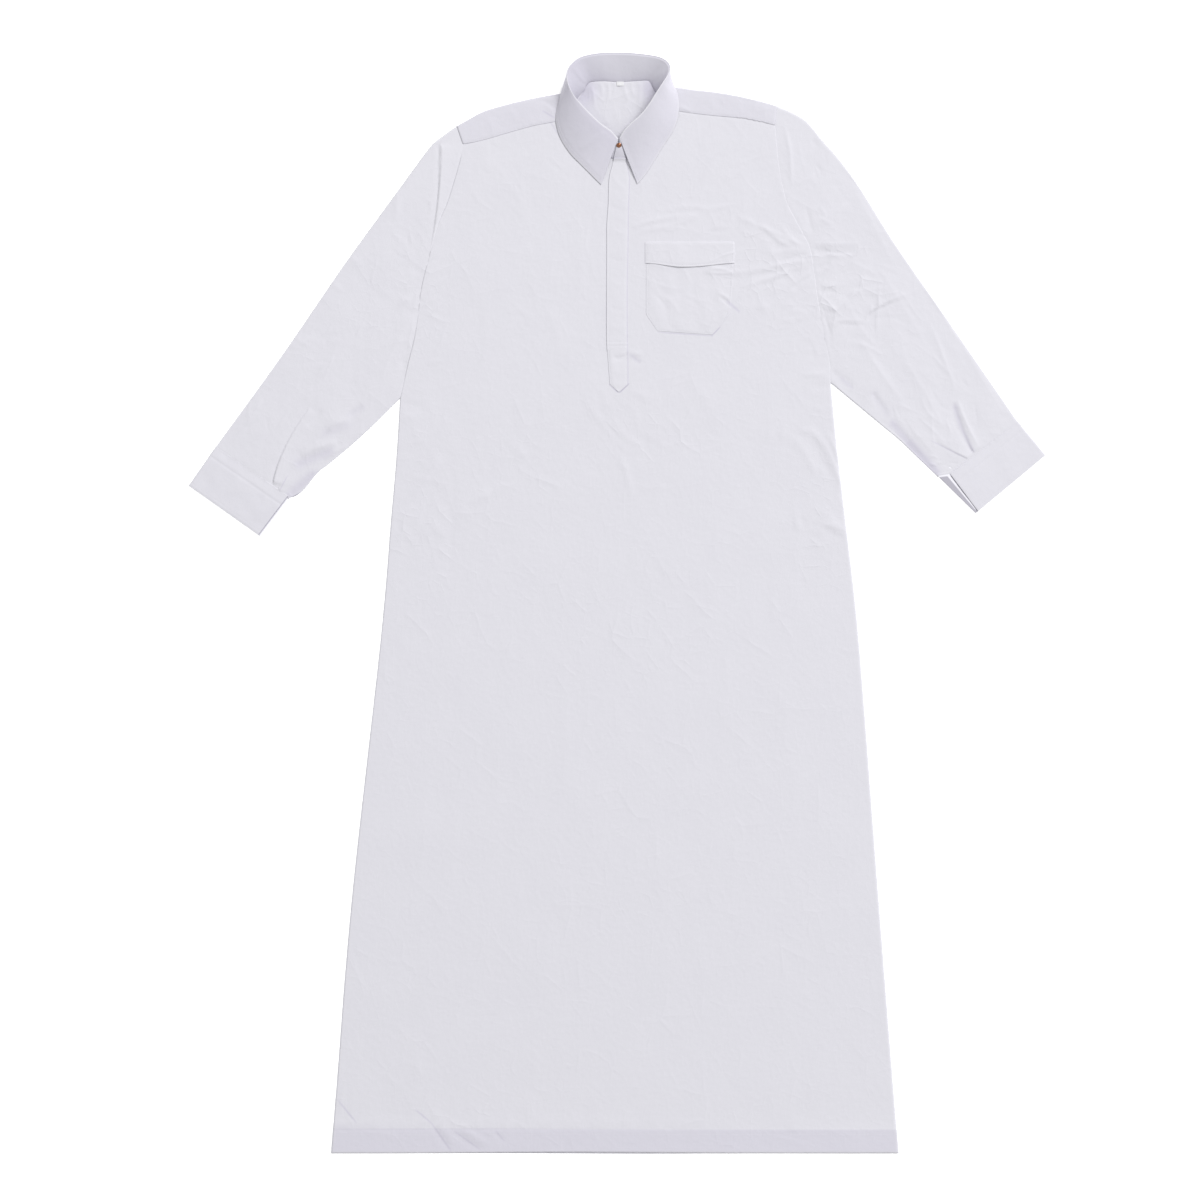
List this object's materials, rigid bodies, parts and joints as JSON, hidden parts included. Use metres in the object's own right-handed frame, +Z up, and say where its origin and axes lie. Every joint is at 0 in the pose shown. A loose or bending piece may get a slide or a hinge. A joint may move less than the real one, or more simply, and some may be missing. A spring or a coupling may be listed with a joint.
{
  "type": "thobe robe",
  "caption": "Long white thobe robe laid flat, front up, sleeves slanting down, with a pointed shirt collar, a concealed placket, a flapped chest pocket and banded cuffs.",
  "frame": {"origin": "bottom centre of the bounding box, on the surface that the robe lies on", "axes": "+Y runs along the robe towards its neck, +Z points up out of its front, +X points to the sleeve on the right as seen from above, which is the wearer's left"},
  "size_m": [1.1564, 1.4836, 0.0247],
  "materials": {
    "shirting": "cool white plain-weave cotton blend, matt, softly pressed",
    "banding": "the same shirting doubled over interlining, topstitched, matt",
    "copper_stud": "satin copper-coloured plated cap",
    "label_tape": "blank white woven tape"
  },
  "bodies": {
    "root": {"back_panel": "shirting", "back_yoke": "shirting", "front_panel": "shirting", "sleeve_left": "shirting", "sleeve_right": "shirting", "cuff_left": "banding", "cuff_right": "banding", "collar_stand": "banding", "collar_leaf": "banding", "placket": "banding", "underlap": "banding", "pocket": "shirting", "pocket_flap": "shirting", "press_stud": "copper_stud", "neck_label": "label_tape"}
  },
  "joints": []
}
